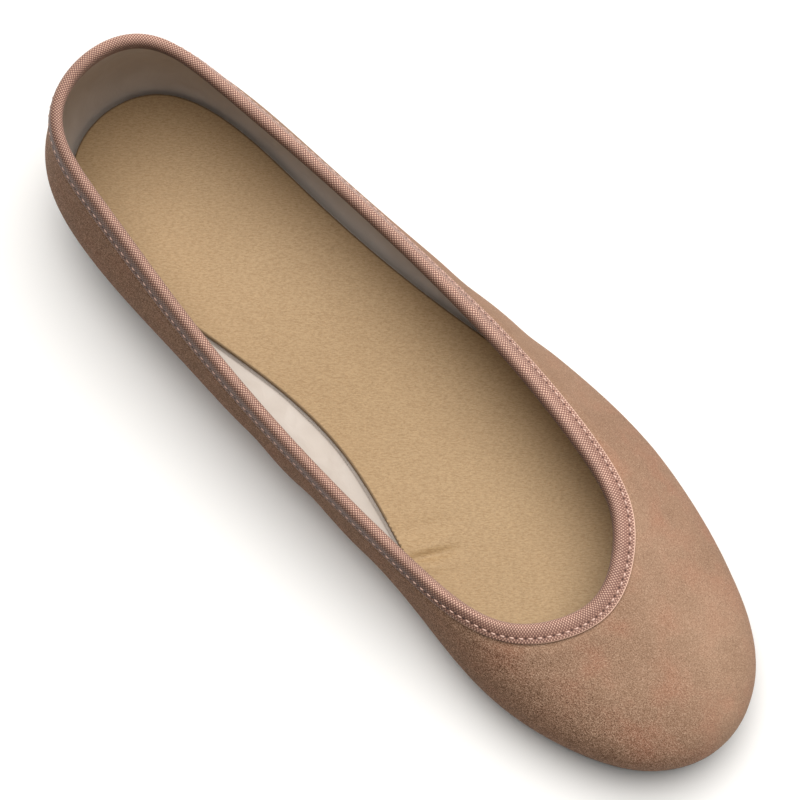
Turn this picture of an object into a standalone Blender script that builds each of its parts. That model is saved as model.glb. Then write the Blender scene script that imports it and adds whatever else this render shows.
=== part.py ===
"""Ballet flat, left shoe: suede upper, woven binding, insole, outsole and heel.

Metres, +Z up, toe towards +X, outer (little toe) side towards +Y. The origin
is under the middle of the shoe, on the floor.
"""

from typing import NamedTuple

import bmesh
import bpy
import numpy as np
from mathutils import Vector

# Overall sizes of the shoe
SHOE_LENGTH = 0.246
BALL_WIDTH = 0.082
WAIST_WIDTH = 0.070
HEEL_WIDTH = 0.060
THROAT_HEIGHT = 0.031
BACK_HEIGHT = 0.058

# Sole, heel and the bend of the bottom
OUTSOLE_THICKNESS = 0.0026
OUTSOLE_OVERHANG = 0.0004
TOE_SPRING = 0.0065
HEEL_HEIGHT = 0.008
HEEL_LENGTH = 0.058
HEEL_INSET = 0.0012
HEEL_TAPER = 0.0015
BREAST_HOLLOW = 0.005
ARCH_LENGTH = 0.080
BALL_REST_LENGTH = 0.040

# Upper, insole and binding
UPPER_WALL = 0.0018
LASTING_MARGIN = 0.009
FEATHER_RADIUS = 0.0016
INSOLE_THICKNESS = 0.0022
INSOLE_CLEARANCE = 0.0006
BINDING_WIDTH = 0.0046
BINDING_INNER_WIDTH = 0.0045
BINDING_THICKNESS = 0.0006

# Gap between pieces that touch on the real shoe
SEAT_GAP = 0.0003

# How finely the curved forms are divided
RIBS_PER_SIDE = 36
END_CROWDING = 0.35
WALL_RINGS = 11
RIB_STEPS = 48
SOLE_STRIPS = 4
BREAST_STEPS = 8


class Section(NamedTuple):
    """One rib of the upper, from the sole's edge up to the topline.

    along is a share of SHOE_LENGTH from the back of the heel, and across is a
    share of the section's own width, positive on the outer side. belly is the
    widest ring and crown the ring where the wall turns in. The up columns of
    belly and crown are shares of the wall's height there, crown_in is the
    share of the way in from the belly to the topline, and top_up is the share
    of the way up from THROAT_HEIGHT to BACK_HEIGHT.
    """

    name: str
    width: float
    sole_along: float
    sole_across: float
    belly_along: float
    belly_across: float
    belly_up: float
    crown_in: float
    crown_up: float
    top_along: float
    top_across: float
    top_up: float


SECTIONS = (
    Section("heel back", HEEL_WIDTH, 0.014, 0.058, 0.000, 0.058, 0.28, 0.40, 0.70, 0.017, 0.058, 1.00),
    Section("corner out", HEEL_WIDTH, 0.046, 0.372, 0.036, 0.410, 0.28, 0.40, 0.70, 0.046, 0.345, 0.94),
    Section("heel side out", HEEL_WIDTH, 0.135, 0.508, 0.131, 0.562, 0.29, 0.40, 0.70, 0.136, 0.448, 0.74),
    Section("breast out", HEEL_WIDTH, 0.265, 0.520, 0.265, 0.598, 0.31, 0.40, 0.71, 0.268, 0.506, 0.47),
    Section("waist out", WAIST_WIDTH, 0.428, 0.496, 0.428, 0.562, 0.33, 0.39, 0.72, 0.428, 0.460, 0.24),
    Section("ball rear out", BALL_WIDTH, 0.570, 0.496, 0.570, 0.531, 0.33, 0.38, 0.73, 0.566, 0.378, 0.10),
    Section("ball out", BALL_WIDTH, 0.684, 0.521, 0.684, 0.550, 0.32, 0.37, 0.73, 0.668, 0.336, 0.04),
    Section("toe side out", BALL_WIDTH, 0.799, 0.468, 0.801, 0.492, 0.31, 0.36, 0.74, 0.738, 0.276, 0.01),
    Section("toe round out", BALL_WIDTH, 0.897, 0.370, 0.901, 0.386, 0.29, 0.36, 0.75, 0.775, 0.182, 0.00),
    Section("toe corner out", BALL_WIDTH, 0.963, 0.230, 0.969, 0.243, 0.27, 0.36, 0.76, 0.794, 0.091, 0.00),
    Section("toe tip", BALL_WIDTH, 0.994, 0.000, 1.000, 0.000, 0.26, 0.36, 0.76, 0.801, -0.010, 0.00),
    Section("toe corner in", BALL_WIDTH, 0.962, -0.205, 0.969, -0.219, 0.27, 0.36, 0.76, 0.792, -0.109, 0.00),
    Section("toe round in", BALL_WIDTH, 0.896, -0.323, 0.902, -0.344, 0.29, 0.36, 0.75, 0.770, -0.210, 0.00),
    Section("ball in", BALL_WIDTH, 0.771, -0.394, 0.773, -0.423, 0.32, 0.37, 0.74, 0.710, -0.311, 0.02),
    Section("ball rear in", BALL_WIDTH, 0.642, -0.334, 0.642, -0.384, 0.36, 0.38, 0.73, 0.618, -0.342, 0.07),
    Section("waist in", WAIST_WIDTH, 0.480, -0.240, 0.480, -0.443, 0.40, 0.39, 0.73, 0.476, -0.404, 0.20),
    Section("breast in", HEEL_WIDTH, 0.285, -0.352, 0.285, -0.490, 0.34, 0.40, 0.72, 0.286, -0.415, 0.44),
    Section("heel side in", HEEL_WIDTH, 0.135, -0.392, 0.131, -0.444, 0.29, 0.40, 0.70, 0.136, -0.332, 0.74),
    Section("corner in", HEEL_WIDTH, 0.046, -0.256, 0.036, -0.293, 0.28, 0.40, 0.70, 0.046, -0.228, 0.94),
)
TOE_TIP = [section.name for section in SECTIONS].index("toe tip")

HEEL_SEAT = HEEL_HEIGHT + SEAT_GAP
UPPER_SEAT = OUTSOLE_THICKNESS + SEAT_GAP
INSOLE_SEAT = UPPER_SEAT + UPPER_WALL + SEAT_GAP
ARCH_START = HEEL_LENGTH + HEEL_INSET + BREAST_HOLLOW
BALL_REST_START = ARCH_START + ARCH_LENGTH
BALL_REST_END = BALL_REST_START + BALL_REST_LENGTH


def bottom_height(along: float) -> float:
    """Height of the outsole's underside over the floor, at a place along the shoe."""
    if along <= ARCH_START:
        return HEEL_SEAT
    if along < BALL_REST_START:
        share = (along - ARCH_START) / ARCH_LENGTH
        return HEEL_SEAT * (1.0 - share * share * (3.0 - 2.0 * share))
    if along <= BALL_REST_END:
        return 0.0
    share = (along - BALL_REST_END) / (SHOE_LENGTH - BALL_REST_END)
    return TOE_SPRING * share ** 2


class CubicCurve:
    """A smooth cubic through rows of values, closed on itself or with free ends."""

    def __init__(self, knots: np.ndarray, values: np.ndarray, closed: bool) -> None:
        """Solve the curve's second derivatives at the knots."""
        self.knots = knots
        self.values = values
        count = len(knots)
        steps = np.diff(knots)
        slopes = np.diff(values, axis=0) / steps[:, None]
        system = np.eye(count)
        known = np.zeros_like(values)
        for k in range(1, count - 1):
            system[k, k - 1:k + 2] = steps[k - 1], 2.0 * (steps[k - 1] + steps[k]), steps[k]
            known[k] = 6.0 * (slopes[k] - slopes[k - 1])
        if closed:
            system[0, 0] = 2.0 * (steps[-1] + steps[0])
            system[0, 1] = steps[0]
            system[0, count - 2] = steps[-1]
            known[0] = 6.0 * (slopes[0] - slopes[-1])
            system[-1, 0] = -1.0
        self.bends = np.linalg.solve(system, known)

    def at(self, place: float) -> np.ndarray:
        """Value of the curve at a place between its first and last knot."""
        k = int(np.clip(np.searchsorted(self.knots, place) - 1, 0, len(self.knots) - 2))
        step = self.knots[k + 1] - self.knots[k]
        after = (place - self.knots[k]) / step
        before = 1.0 - after
        straight = before * self.values[k] + after * self.values[k + 1]
        bent = (before ** 3 - before) * self.bends[k] + (after ** 3 - after) * self.bends[k + 1]
        return straight + bent * step ** 2 / 6.0


def lengths_along(points: np.ndarray) -> np.ndarray:
    """Running length at each point of a line, starting from zero."""
    steps = np.linalg.norm(np.diff(points, axis=0), axis=1)
    return np.concatenate(([0.0], np.cumsum(steps)))


def section_values(section: Section) -> list[float]:
    """A section's columns as real sizes: sole, belly and topline in plan, then heights."""
    rise = BACK_HEIGHT - THROAT_HEIGHT
    return [
        section.sole_along * SHOE_LENGTH, section.sole_across * section.width,
        section.belly_along * SHOE_LENGTH, section.belly_across * section.width,
        section.top_along * SHOE_LENGTH, section.top_across * section.width,
        THROAT_HEIGHT + section.top_up * rise,
        section.belly_up, section.crown_in, section.crown_up,
    ]


def loop_places(knots: np.ndarray) -> list[float]:
    """Places of the ribs round the shoe, closer together at the heel and the toe."""
    places = []
    for start, end in ((0.0, knots[TOE_TIP]), (knots[TOE_TIP], knots[-1])):
        for k in range(RIBS_PER_SIDE):
            share = k / RIBS_PER_SIDE
            share -= END_CROWDING * np.sin(2.0 * np.pi * share) / (2.0 * np.pi)
            places.append(start + share * (end - start))
    return places


def loop_rows() -> np.ndarray:
    """Section values at every rib round the shoe, from the heel over the outer side."""
    rows = np.array([section_values(section) for section in SECTIONS + SECTIONS[:1]])
    knots = lengths_along(rows[:, 2:4])
    curve = CubicCurve(knots, rows, closed=True)
    return np.array([curve.at(place) for place in loop_places(knots)])


ROWS = loop_rows()
RIB_COUNT = len(ROWS)


def inset_outline(distance: float) -> np.ndarray:
    """The sole's edge in plan, moved in by a distance, or out by a negative one."""
    edge = ROWS[:, 0:2]
    run = np.roll(edge, -1, axis=0) - np.roll(edge, 1, axis=0)
    run /= np.linalg.norm(run, axis=1)[:, None]
    inward = np.column_stack((run[:, 1], -run[:, 0]))
    return edge + inward * distance


def on_bottom(plan: np.ndarray, lift: float) -> np.ndarray:
    """Points in plan raised onto the bent bottom, a lift above the outsole's underside."""
    heights = [bottom_height(along) + lift for along in plan[:, 0]]
    return np.column_stack((plan, heights))


def rib_line(row: np.ndarray) -> np.ndarray:
    """Fine points up one rib's wall, from above the feather edge to the topline."""
    sole, belly, top = row[0:2], row[2:4], row[4:6]
    top_height, belly_up, crown_in, crown_up = row[6:10]
    foot_height = bottom_height(sole[0]) + UPPER_SEAT + FEATHER_RADIUS
    wall_height = top_height - foot_height
    crown = belly + (top - belly) * crown_in
    corners = np.array([
        [*sole, foot_height],
        [*belly, foot_height + belly_up * wall_height],
        [*crown, foot_height + crown_up * wall_height],
        [*top, top_height],
    ])
    knots = lengths_along(corners)
    curve = CubicCurve(knots, corners, closed=False)
    return np.array([curve.at(knots[-1] * k / RIB_STEPS) for k in range(RIB_STEPS + 1)])


RIB_LINES = [rib_line(row) for row in ROWS]


def wall_point(rib: int, below_top: float) -> np.ndarray:
    """Point on the upper's outer face, a distance down its rib from the topline."""
    line = RIB_LINES[rib % RIB_COUNT][::-1]
    lengths = lengths_along(line)
    return np.array([np.interp(below_top, lengths, line[:, axis]) for axis in range(3)])


def wall_frame(rib: int, below_top: float) -> tuple[np.ndarray, np.ndarray]:
    """Outward and upward directions of the upper's outer face at a point."""
    reach = UPPER_WALL / 2.0
    up = wall_point(rib, max(below_top - reach, 0.0)) - wall_point(rib, below_top + reach)
    run = wall_point(rib + 1, below_top) - wall_point(rib - 1, below_top)
    out = np.cross(up, run)
    return out / np.linalg.norm(out), up / np.linalg.norm(up)


def upper_rings() -> list[np.ndarray]:
    """Closed rings of the upper's outer face, from the lasting margin to the topline."""
    corner = FEATHER_RADIUS * (1.0 - np.sqrt(0.5))
    rings = [
        on_bottom(inset_outline(LASTING_MARGIN), UPPER_SEAT),
        on_bottom(inset_outline(FEATHER_RADIUS), UPPER_SEAT),
        on_bottom(inset_outline(corner), UPPER_SEAT + corner),
    ]
    for k in range(WALL_RINGS + 1):
        share = 1.0 - k / WALL_RINGS
        ring = []
        for rib, line in enumerate(RIB_LINES):
            ring.append(wall_point(rib, share * lengths_along(line)[-1]))
        rings.append(np.array(ring))
    return rings


def binding_rings() -> list[np.ndarray]:
    """Closed rings of the binding's face that lies on the upper, over its top edge.

    A station is a distance down from the topline and a distance out from the
    upper's outer face.
    """
    outside = SEAT_GAP
    inside = -(UPPER_WALL + SEAT_GAP)
    fold = (-SEAT_GAP - BINDING_THICKNESS, -UPPER_WALL / 2.0)
    stations = (
        (BINDING_WIDTH, outside), (BINDING_WIDTH * 2 / 3, outside), (BINDING_WIDTH / 3, outside),
        (-SEAT_GAP, outside), fold, (-SEAT_GAP, inside),
        (BINDING_INNER_WIDTH / 2, inside), (BINDING_INNER_WIDTH, inside),
    )
    rings = []
    for below_top, offset in stations:
        ring = []
        for rib in range(RIB_COUNT):
            on_wall = max(below_top, 0.0)
            out, up = wall_frame(rib, on_wall)
            ring.append(wall_point(rib, on_wall) + out * offset + up * (on_wall - below_top))
        rings.append(np.array(ring))
    return rings


def new_object(
    name: str, collection: bpy.types.Collection, shape: bmesh.types.BMesh
) -> bpy.types.Object:
    """Make a smooth shaded mesh object from a bmesh, which is freed."""
    mesh = bpy.data.meshes.new(name)
    shape.to_mesh(mesh)
    shape.free()
    mesh.shade_smooth()
    obj = bpy.data.objects.new(name, mesh)
    collection.objects.link(obj)
    return obj


def ring_surface(rings: list[np.ndarray]) -> bmesh.types.BMesh:
    """Loft an open surface through closed rings with equal counts of points."""
    shape = bmesh.new()
    layers = [[shape.verts.new(point) for point in ring] for ring in rings]
    for lower, higher in zip(layers, layers[1:]):
        for k in range(len(lower)):
            after = (k + 1) % len(lower)
            shape.faces.new((lower[k], higher[k], higher[after], lower[after]))
    return shape


def sole_surface(plan: np.ndarray, lift: float) -> bmesh.types.BMesh:
    """Loft a sheet on the bent bottom, through sections that cross the shoe."""
    shape = bmesh.new()
    heel = shape.verts.new(on_bottom(plan[:1], lift)[0])
    toe = shape.verts.new(on_bottom(plan[RIBS_PER_SIDE:RIBS_PER_SIDE + 1], lift)[0])
    sections = [[heel] * (SOLE_STRIPS + 1)]
    for k in range(1, RIBS_PER_SIDE):
        outer, inner = plan[k], plan[-k]
        across = [outer + (inner - outer) * step / SOLE_STRIPS for step in range(SOLE_STRIPS + 1)]
        sections.append([shape.verts.new(point) for point in on_bottom(np.array(across), lift)])
    sections.append([toe] * (SOLE_STRIPS + 1))
    for back, front in zip(sections, sections[1:]):
        for k in range(SOLE_STRIPS):
            corners = (back[k], front[k], front[k + 1], back[k + 1])
            shape.faces.new(tuple(dict.fromkeys(corners)))
    return shape


def thicken(obj: bpy.types.Object, thickness: float, offset: float) -> None:
    """Give a surface its wall with a Solidify modifier."""
    wall = obj.modifiers.new("wall", "SOLIDIFY")
    wall.thickness = thickness
    wall.offset = offset
    wall.use_even_offset = True


def heel_plan(inset: float) -> np.ndarray:
    """Outline of the heel in plan: round at the back, with a hollow breast in front."""
    from_toe = np.roll(np.arange(RIB_COUNT), RIBS_PER_SIDE)
    back = inset_outline(inset)[[rib for rib in from_toe if ROWS[rib, 0] < HEEL_LENGTH]]
    inner, outer = back[0], back[-1]
    inner[0] = outer[0] = HEEL_LENGTH
    breast = []
    for k in range(1, BREAST_STEPS):
        share = k / BREAST_STEPS
        point = outer + (inner - outer) * share
        point[0] -= BREAST_HOLLOW * np.sin(np.pi * share)
        breast.append(point)
    return np.array([*back, *breast])


def make_heel(collection: bpy.types.Collection) -> bpy.types.Object:
    """A low heel block, a little smaller at the floor than at the outsole."""
    shape = bmesh.new()
    top_plan = heel_plan(HEEL_INSET)
    foot_plan = heel_plan(HEEL_INSET + HEEL_TAPER)
    top = [shape.verts.new((*point, HEEL_HEIGHT)) for point in top_plan]
    foot = [shape.verts.new((*point, 0.0)) for point in foot_plan]
    for k in range(len(top)):
        after = (k + 1) % len(top)
        shape.faces.new((top[k], top[after], foot[after], foot[k]))
    shape.faces.new(top[::-1])
    shape.faces.new(foot)
    bmesh.ops.recalc_face_normals(shape, faces=shape.faces)
    return new_object("heel", collection, shape)


def make_outsole(collection: bpy.types.Collection) -> bpy.types.Object:
    """The thin outsole, a little wider than the feather edge."""
    shape = sole_surface(inset_outline(-OUTSOLE_OVERHANG), 0.0)
    obj = new_object("outsole", collection, shape)
    thicken(obj, OUTSOLE_THICKNESS, -1.0)
    return obj


def make_insole(collection: bpy.types.Collection) -> bpy.types.Object:
    """The insole, on the upper's lasting margin and inside its wall."""
    shape = sole_surface(inset_outline(UPPER_WALL + INSOLE_CLEARANCE), INSOLE_SEAT)
    obj = new_object("insole", collection, shape)
    thicken(obj, INSOLE_THICKNESS, -1.0)
    return obj


def make_upper(collection: bpy.types.Collection) -> bpy.types.Object:
    """The suede upper: one hollow shell, open at the topline and underneath."""
    obj = new_object("upper", collection, ring_surface(upper_rings()))
    thicken(obj, UPPER_WALL, -1.0)
    return obj


def make_binding(collection: bpy.types.Collection) -> bpy.types.Object:
    """The woven binding, folded over the upper's top edge."""
    obj = new_object("binding", collection, ring_surface(binding_rings()))
    thicken(obj, BINDING_THICKNESS, 1.0)
    return obj


def give_material(obj: bpy.types.Object, colour: tuple[float, float, float], roughness: float) -> None:
    """Give an object its own plain material."""
    material = bpy.data.materials.new(obj.name)
    material.use_nodes = True
    shader = material.node_tree.nodes["Principled BSDF"]
    shader.inputs["Base Color"].default_value = (*colour, 1.0)
    shader.inputs["Roughness"].default_value = roughness
    shader.inputs["Metallic"].default_value = 0.0
    obj.data.materials.append(material)


def centre_on_floor(parts: list[bpy.types.Object], holder: bpy.types.Object) -> None:
    """Put the holder so that the shoe's box is centred over the origin, on the floor."""
    graph = bpy.context.evaluated_depsgraph_get()
    corners = []
    for obj in parts:
        corners.extend(vertex.co.copy() for vertex in obj.evaluated_get(graph).data.vertices)
    low = Vector(min(point[axis] for point in corners) for axis in range(3))
    high = Vector(max(point[axis] for point in corners) for axis in range(3))
    middle = (low + high) / 2.0
    holder.location = (-middle.x, -middle.y, -low.z)


def main() -> None:
    """Clear the scene and build the shoe."""
    for obj in list(bpy.data.objects):
        bpy.data.objects.remove(obj, do_unlink=True)
    collection = bpy.data.collections.new("ballet_flat")
    bpy.context.scene.collection.children.link(collection)
    upper = make_upper(collection)
    binding = make_binding(collection)
    insole = make_insole(collection)
    outsole = make_outsole(collection)
    heel = make_heel(collection)
    give_material(upper, (0.42, 0.25, 0.16), 0.95)
    give_material(binding, (0.40, 0.22, 0.19), 0.85)
    give_material(insole, (0.56, 0.40, 0.22), 0.60)
    give_material(outsole, (0.07, 0.045, 0.03), 0.55)
    give_material(heel, (0.06, 0.04, 0.028), 0.50)
    parts = [upper, binding, insole, outsole, heel]
    holder = bpy.data.objects.new("shoe_place", None)
    collection.objects.link(holder)
    for obj in parts:
        obj.parent = holder
    bpy.context.view_layer.update()
    centre_on_floor(parts, holder)
    bpy.context.view_layer.update()


main()
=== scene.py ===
"""Ballet flat, left shoe: its looks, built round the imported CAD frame.

Metres, +Z up, toe towards +X, outer side towards +Y, as in the frame. A size whose
name ends in _mm is in millimetres.
"""

import logging
import math
from collections.abc import Callable
from dataclasses import dataclass
from enum import Enum
from typing import Any

import bpy
import numpy as np
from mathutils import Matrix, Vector
from mathutils.bvhtree import BVHTree
from mathutils.kdtree import KDTree


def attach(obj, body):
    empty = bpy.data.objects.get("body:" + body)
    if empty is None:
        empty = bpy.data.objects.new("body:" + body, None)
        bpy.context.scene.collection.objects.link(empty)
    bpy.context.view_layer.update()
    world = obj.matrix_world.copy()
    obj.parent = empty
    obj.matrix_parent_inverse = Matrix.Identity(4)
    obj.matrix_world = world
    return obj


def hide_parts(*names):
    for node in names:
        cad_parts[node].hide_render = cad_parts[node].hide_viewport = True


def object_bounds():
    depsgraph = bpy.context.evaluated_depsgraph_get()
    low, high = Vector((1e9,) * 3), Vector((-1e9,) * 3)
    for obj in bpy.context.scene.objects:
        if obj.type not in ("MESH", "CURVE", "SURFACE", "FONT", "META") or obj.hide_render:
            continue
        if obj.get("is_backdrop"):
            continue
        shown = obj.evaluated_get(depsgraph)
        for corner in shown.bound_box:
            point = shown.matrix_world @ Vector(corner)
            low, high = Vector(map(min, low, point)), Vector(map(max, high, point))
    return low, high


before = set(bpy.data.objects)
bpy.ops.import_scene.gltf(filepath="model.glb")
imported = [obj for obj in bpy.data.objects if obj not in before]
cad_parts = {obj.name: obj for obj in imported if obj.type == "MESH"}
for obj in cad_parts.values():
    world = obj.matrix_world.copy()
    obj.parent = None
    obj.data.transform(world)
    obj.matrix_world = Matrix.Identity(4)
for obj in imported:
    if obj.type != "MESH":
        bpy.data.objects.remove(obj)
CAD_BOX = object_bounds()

MM = 0.001
MERGE_DISTANCE = 1e-6
SHARP_TURN_DEG = 50.0
BEVEL_SEGMENTS = 2
CREASE_END_SHARE = 0.35
CREASE_SIDE_BLEND = (-0.004, 0.006)
# The outer side, which faces the key light: cloth colours are painted lighter where they face it
# and darker where they turn from it, painted light and shade
LIT_SIDE = (0.0, 1.0, 0.0)
WHITE = (1.0, 1.0, 1.0, 1.0)
EASED = {"interpolation_type": "SMOOTHSTEP"}
# How far a wave texture turns for each unit of its coordinates, at a scale of 1
WAVE_RADIANS = 20.0
LOG = logging.getLogger("ballet_flat")

Array = np.ndarray
Material = bpy.types.Material
Piece = bpy.types.Object
Socket = bpy.types.NodeSocket
Tree = bpy.types.NodeTree
Rgba = tuple[float, float, float, float]
# A bump's strength, and its depth in millimetres
Relief = tuple[float, float]
# From one number to another, in either direction
Span = tuple[float, float]
FULL = (0.0, 1.0)


class CadNode(Enum):
    """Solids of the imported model."""

    UPPER = "upper"
    BINDING = "binding"
    INSOLE = "insole"
    OUTSOLE = "outsole"
    HEEL = "heel"


class Slot(Enum):
    """Names of material slots."""

    SUEDE = "suede"
    LINING = "lining"
    TAPE = "binding_tape"
    THREAD = "stitch_thread"
    INSOLE = "insole_leather"
    OUTSOLE = "outsole"
    HEEL = "heel_block"


class Flat(Enum):
    """The plane that a crease is drawn in: the shoe seen from above or from its side."""

    PLAN = (0, 1)
    SIDE = (0, 2)


# Mesh helpers


def select_only(piece: Piece) -> None:
    """Make one object the whole selection.

    Args:
        piece: The object that stays selected and becomes active.
    """
    bpy.ops.object.select_all(action="DESELECT")
    piece.select_set(True)
    bpy.context.view_layer.objects.active = piece


def apply_modifier(piece: Piece, kind: str, settings: dict[str, Any]) -> None:
    """Add a modifier, set it and apply it.

    Args:
        piece: The mesh object.
        kind: Blender's name for the modifier's type.
        settings: Its properties and their values.
    """
    select_only(piece)
    modifier = piece.modifiers.new(kind.lower(), kind)
    for name, value in settings.items():
        setattr(modifier, name, value)
    bpy.ops.object.modifier_apply(modifier=modifier.name)


def subdivide_smoothly(piece: Piece, levels: int) -> None:
    """Round a piece with an applied Subdivision Surface.

    Args:
        piece: The mesh object.
        levels: How many times each face is divided.
    """
    settings = {"levels": levels, "render_levels": levels, "boundary_smooth": "PRESERVE_CORNERS"}
    apply_modifier(piece, "SUBSURF", settings)


def copy_of_node(node: CadNode, name: str) -> Piece:
    """Copy a CAD node into a new piece, its loose triangles merged into quads.

    Args:
        node: The solid to copy.
        name: The new piece's name.

    Returns:
        The new piece, at the origin, with no material.
    """
    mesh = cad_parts[node.value].data.copy()
    mesh.name = name
    mesh.materials.clear()
    piece = bpy.data.objects.new(name, mesh)
    bpy.context.scene.collection.objects.link(piece)
    select_only(piece)
    bpy.ops.mesh.customdata_custom_splitnormals_clear()
    bpy.ops.object.mode_set(mode="EDIT")
    bpy.ops.mesh.select_mode(type="VERT")
    bpy.ops.mesh.select_all(action="SELECT")
    bpy.ops.mesh.remove_doubles(threshold=MERGE_DISTANCE)
    bpy.ops.mesh.tris_convert_to_quads(face_threshold=math.pi, shape_threshold=math.pi)
    bpy.ops.mesh.mark_sharp(clear=True)
    bpy.ops.mesh.faces_shade_smooth()
    bpy.ops.object.mode_set(mode="OBJECT")
    return piece


def edit_faces(piece: Piece, chosen: Array, operator: Callable, settings: dict[str, Any]) -> None:
    """Run a mesh operator on some faces of a piece.

    Args:
        piece: The mesh object.
        chosen: One flag for each face, true where it is worked on.
        operator: The operator, from bpy.ops.mesh.
        settings: Its settings.
    """
    select_only(piece)
    bpy.ops.object.mode_set(mode="EDIT")
    bpy.ops.mesh.select_mode(type="FACE")
    bpy.ops.mesh.select_all(action="DESELECT")
    bpy.ops.object.mode_set(mode="OBJECT")
    piece.data.polygons.foreach_set("select", chosen)
    bpy.ops.object.mode_set(mode="EDIT")
    operator(**settings)
    bpy.ops.object.mode_set(mode="OBJECT")


def bevel_sharp_edges(piece: Piece, width_mm: float) -> None:
    """Round off the edges where a piece's faces turn sharply.

    Args:
        piece: The mesh object.
        width_mm: The bevel's width.
    """
    select_only(piece)
    bpy.ops.object.mode_set(mode="EDIT")
    bpy.ops.mesh.select_mode(type="EDGE")
    bpy.ops.mesh.select_all(action="DESELECT")
    bpy.ops.mesh.edges_select_sharp(sharpness=math.radians(SHARP_TURN_DEG))
    bevel = {"offset": width_mm * MM, "segments": BEVEL_SEGMENTS}
    bpy.ops.mesh.bevel(**bevel, affect="EDGES", clamp_overlap=True)
    bpy.ops.object.mode_set(mode="OBJECT")


def read_vectors(elements: Any, name: str) -> Array:
    """Read one vector of each of a mesh's elements, one row each.

    Args:
        elements: The mesh's vertices, vertex normals or faces.
        name: The vector's name.

    Returns:
        The vectors.
    """
    values = np.empty(len(elements) * 3)
    elements.foreach_get(name, values)
    return values.reshape(-1, 3)


def face_places(piece: Piece) -> tuple[Array, Array]:
    """Centres and normals of a piece's faces."""
    return tuple(read_vectors(piece.data.polygons, name) for name in ("center", "normal"))


def points_of(piece: Piece) -> Array:
    """Vertex positions of a piece."""
    return read_vectors(piece.data.vertices, "co")


def normals_of(piece: Piece) -> Array:
    """Vertex normals of a piece."""
    return read_vectors(piece.data.vertex_normals, "vector")


def move_points(piece: Piece, points: Array) -> None:
    """Write new vertex positions to a piece."""
    piece.data.vertices.foreach_set("co", points.ravel())
    piece.data.update()


def tree_of(piece: Piece) -> BVHTree:
    """Search tree over a mesh object's faces."""
    faces = [tuple(face.vertices) for face in piece.data.polygons]
    return BVHTree.FromPolygons(points_of(piece).tolist(), faces)


def search_tree(points: Array) -> KDTree:
    """Search tree over points."""
    tree = KDTree(len(points))
    for k, point in enumerate(points):
        tree.insert(point, k)
    tree.balance()
    return tree


def loop_lengths(points: Array) -> Array:
    """Distances along a closed line to each of its points, and to the first again."""
    steps = np.linalg.norm(np.roll(points, -1, axis=0) - points, axis=1)
    return np.concatenate(([0.0], np.cumsum(steps)))


def resample_loop(rows: Array, points: Array, count: int, ahead: float = 0.0) -> Array:
    """Read values at even steps along a closed line.

    Args:
        rows: One row of values for each point.
        points: Points round the line.
        count: How many steps.
        ahead: How far past each step to read, in metres.

    Returns:
        The values at each step.
    """
    lengths = loop_lengths(points)
    closed = np.vstack((rows, rows[:1]))
    places = (lengths[-1] * np.arange(count) / count + ahead) % lengths[-1]
    return np.column_stack([np.interp(places, lengths, column) for column in closed.T])


def smooth_round(rows: Array, reach: int) -> Array:
    """Average each row of a closed line with its neighbours.

    Args:
        rows: Values along the line, one row or number for each place.
        reach: How many places to each side still count.

    Returns:
        The smoothed values.
    """
    steps = range(-reach, reach + 1)
    weights = [math.exp(-((2.0 * step / reach) ** 2)) for step in steps]
    total = sum(weight * np.roll(rows, step, axis=0) for weight, step in zip(weights, steps))
    return total / sum(weights)


def smooth_step(values: Array, low: float, high: float) -> Array:
    """Zero below low, one above high, and a smooth rise between them."""
    share = np.clip((values - low) / (high - low), 0.0, 1.0)
    return share * share * (3.0 - 2.0 * share)


@dataclass(frozen=True)
class Crease:
    """A soft trough or ridge between two places on the shoe.

    rise_mm is below zero for a trough. side is +1 for the outer side, -1 for the
    inner side and 0 for both.
    """

    flat: Flat
    start_mm: tuple[float, float]
    end_mm: tuple[float, float]
    width_mm: float
    rise_mm: float
    side: int = 0

    def rise_at(self, points: Array) -> Array:
        """How far the crease lifts the surface at each point.

        Args:
            points: Positions in metres, one row each.

        Returns:
            The lift in metres.
        """
        flat_points = points[:, list(self.flat.value)] / MM
        start, end = np.array(self.start_mm), np.array(self.end_mm)
        run = end - start
        share = np.clip((flat_points - start) @ run / (run @ run), 0.0, 1.0)
        aside = np.linalg.norm(flat_points - start - share[:, None] * run, axis=1)
        fade = CREASE_END_SHARE + (1.0 - CREASE_END_SHARE) * np.sin(np.pi * share)
        rise = self.rise_mm * MM * np.exp(-((aside / self.width_mm) ** 2)) * fade
        if self.side:
            rise = rise * smooth_step(points[:, 1] * self.side, *CREASE_SIDE_BLEND)
        return rise

    def near(self, points: Array, reach: float) -> Array:
        """Flag the points where the crease shows, out to some widths from its line."""
        least = abs(self.rise_mm) * MM * CREASE_END_SHARE * math.exp(-(reach**2))
        return np.abs(self.rise_at(points)) > least


def crease_surface(piece: Piece, creases: tuple[Crease, ...], share: float | Array) -> None:
    """Press creases into a piece along its normals.

    Args:
        piece: The mesh object.
        creases: The troughs and ridges.
        share: How much of each crease shows, below zero where the normals point the other way.
    """
    points, normals = points_of(piece), normals_of(piece)
    rise = sum(crease.rise_at(points) for crease in creases) * share
    move_points(piece, points + normals * rise[:, None])


# Material helpers


def linear(colour: str) -> Rgba:
    """Turn an sRGB hex colour into linear RGBA.

    Args:
        colour: Six hex digits after a hash sign.

    Returns:
        Red, green, blue and alpha from 0 to 1.
    """
    parts = [int(colour[k:k + 2], 16) / 255.0 for k in (1, 3, 5)]
    red, green, blue = (p / 12.92 if p <= 0.04045 else ((p + 0.055) / 1.055) ** 2.4 for p in parts)
    return red, green, blue, 1.0


def per_metre(size_mm: float) -> float:
    """Texture scale on Object coordinates that gives features of a real size."""
    return 1.0 / (size_mm * MM)


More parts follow.
